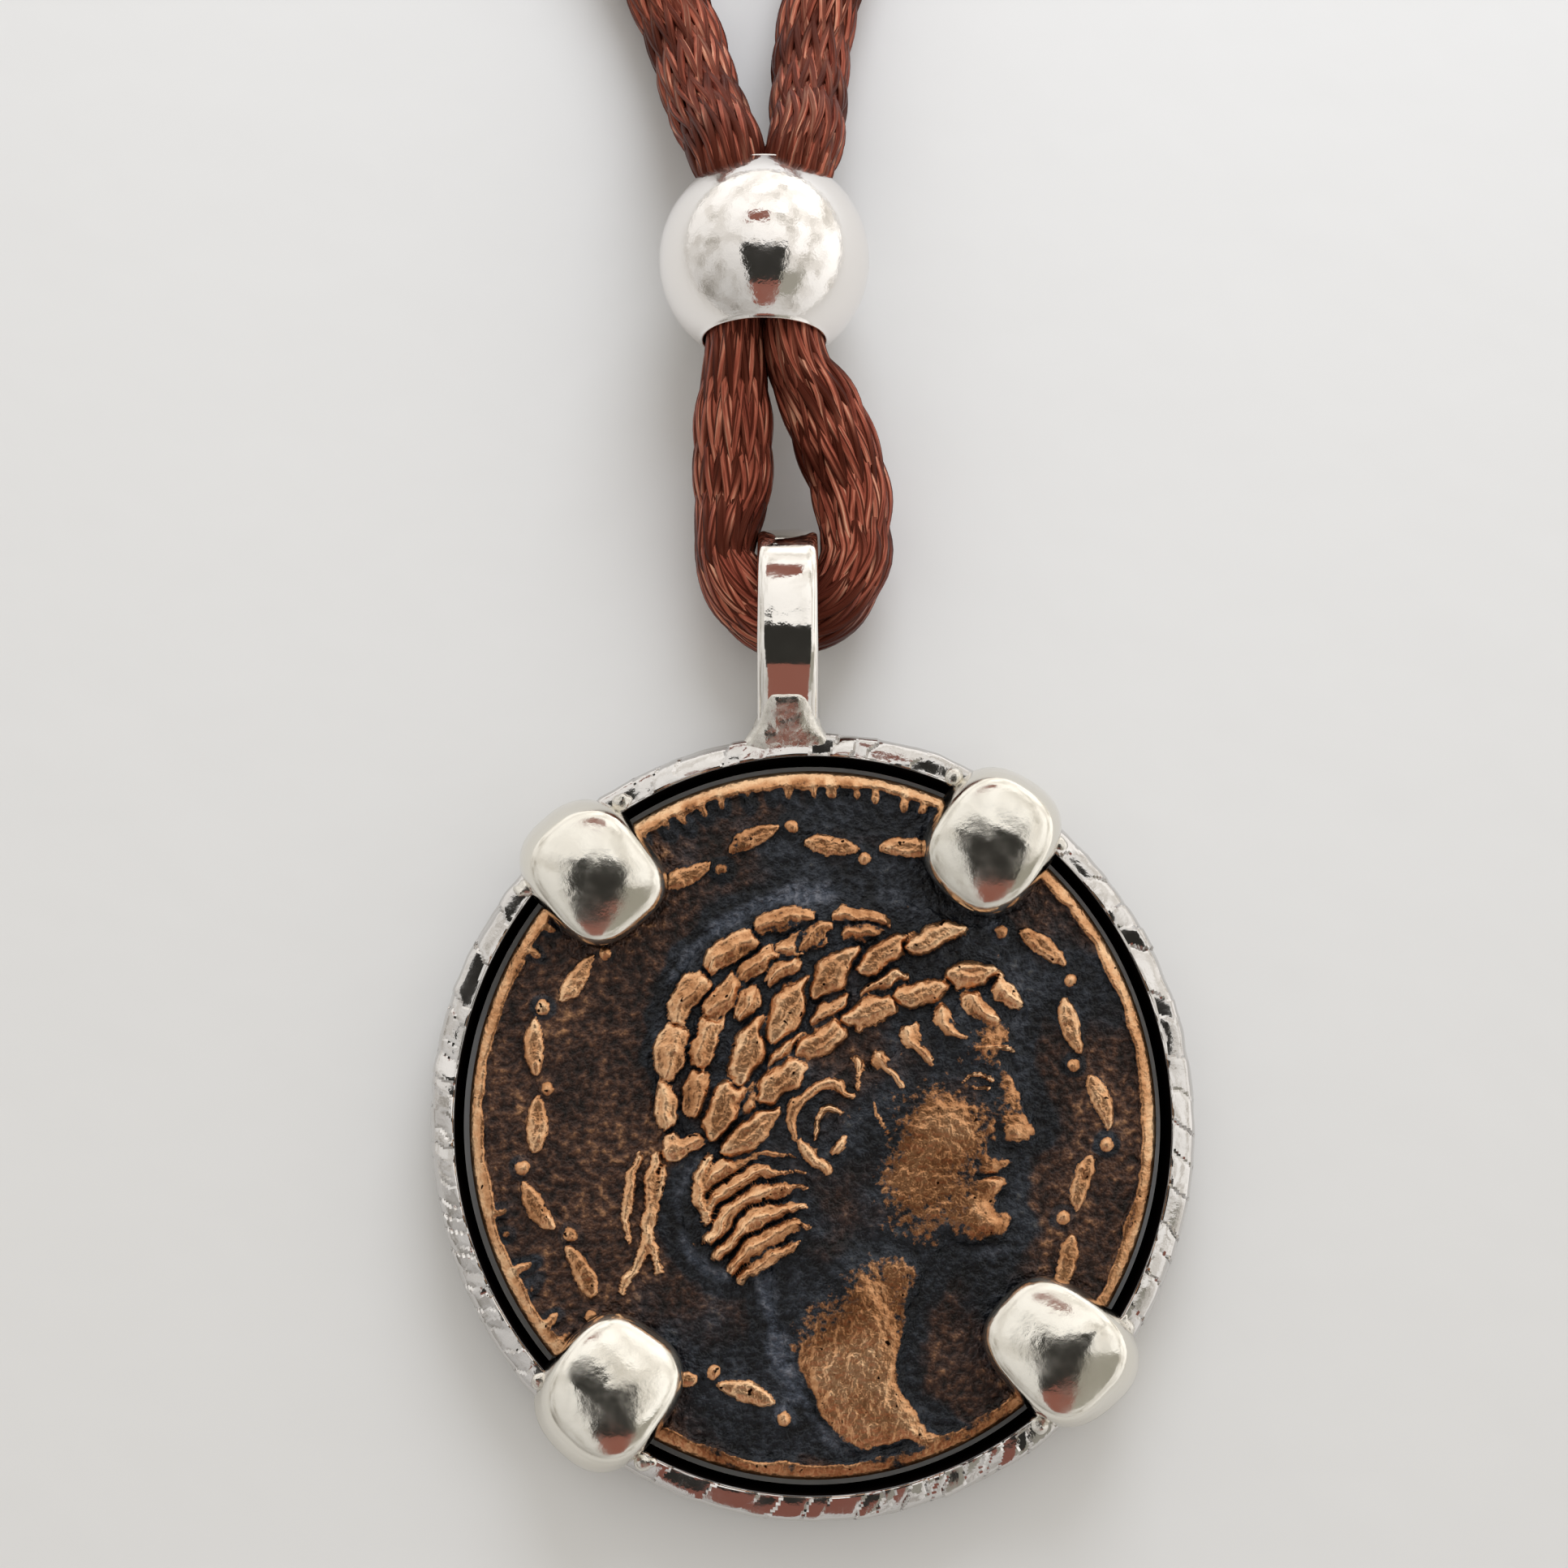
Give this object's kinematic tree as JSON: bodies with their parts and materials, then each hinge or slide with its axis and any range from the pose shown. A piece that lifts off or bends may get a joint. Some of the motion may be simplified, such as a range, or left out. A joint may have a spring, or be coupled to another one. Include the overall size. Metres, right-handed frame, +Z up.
{
  "type": "coin pendant necklace",
  "caption": "Bronze relief coin held by claws in a hammered silver ring, hung by its bail on a doubled satin cord with a sliding silver bead.",
  "frame": {"origin": "middle of the setting's footprint on the surface that the pendant lies on", "axes": "+Z up out of the surface and out of the coin's face, +Y from the coin towards the bail, the bead and the neck, +X to the right as the coin's face is seen"},
  "size_m": [0.0942, 0.2251, 0.0087],
  "materials": {
    "silver": "polished sterling silver with hammer marks and grainy solder",
    "bronze": "dark brown and blue-black patina, rubbed to copper on the raised parts",
    "polished_silver": "mirror polished",
    "satin_cord": "braided satin yarn, reddish brown"
  },
  "bodies": {
    "root": {"setting": "silver", "coin": "bronze", "slider_bead": "polished_silver", "cord": "satin_cord", "end_sleeve": "polished_silver"}
  },
  "joints": []
}
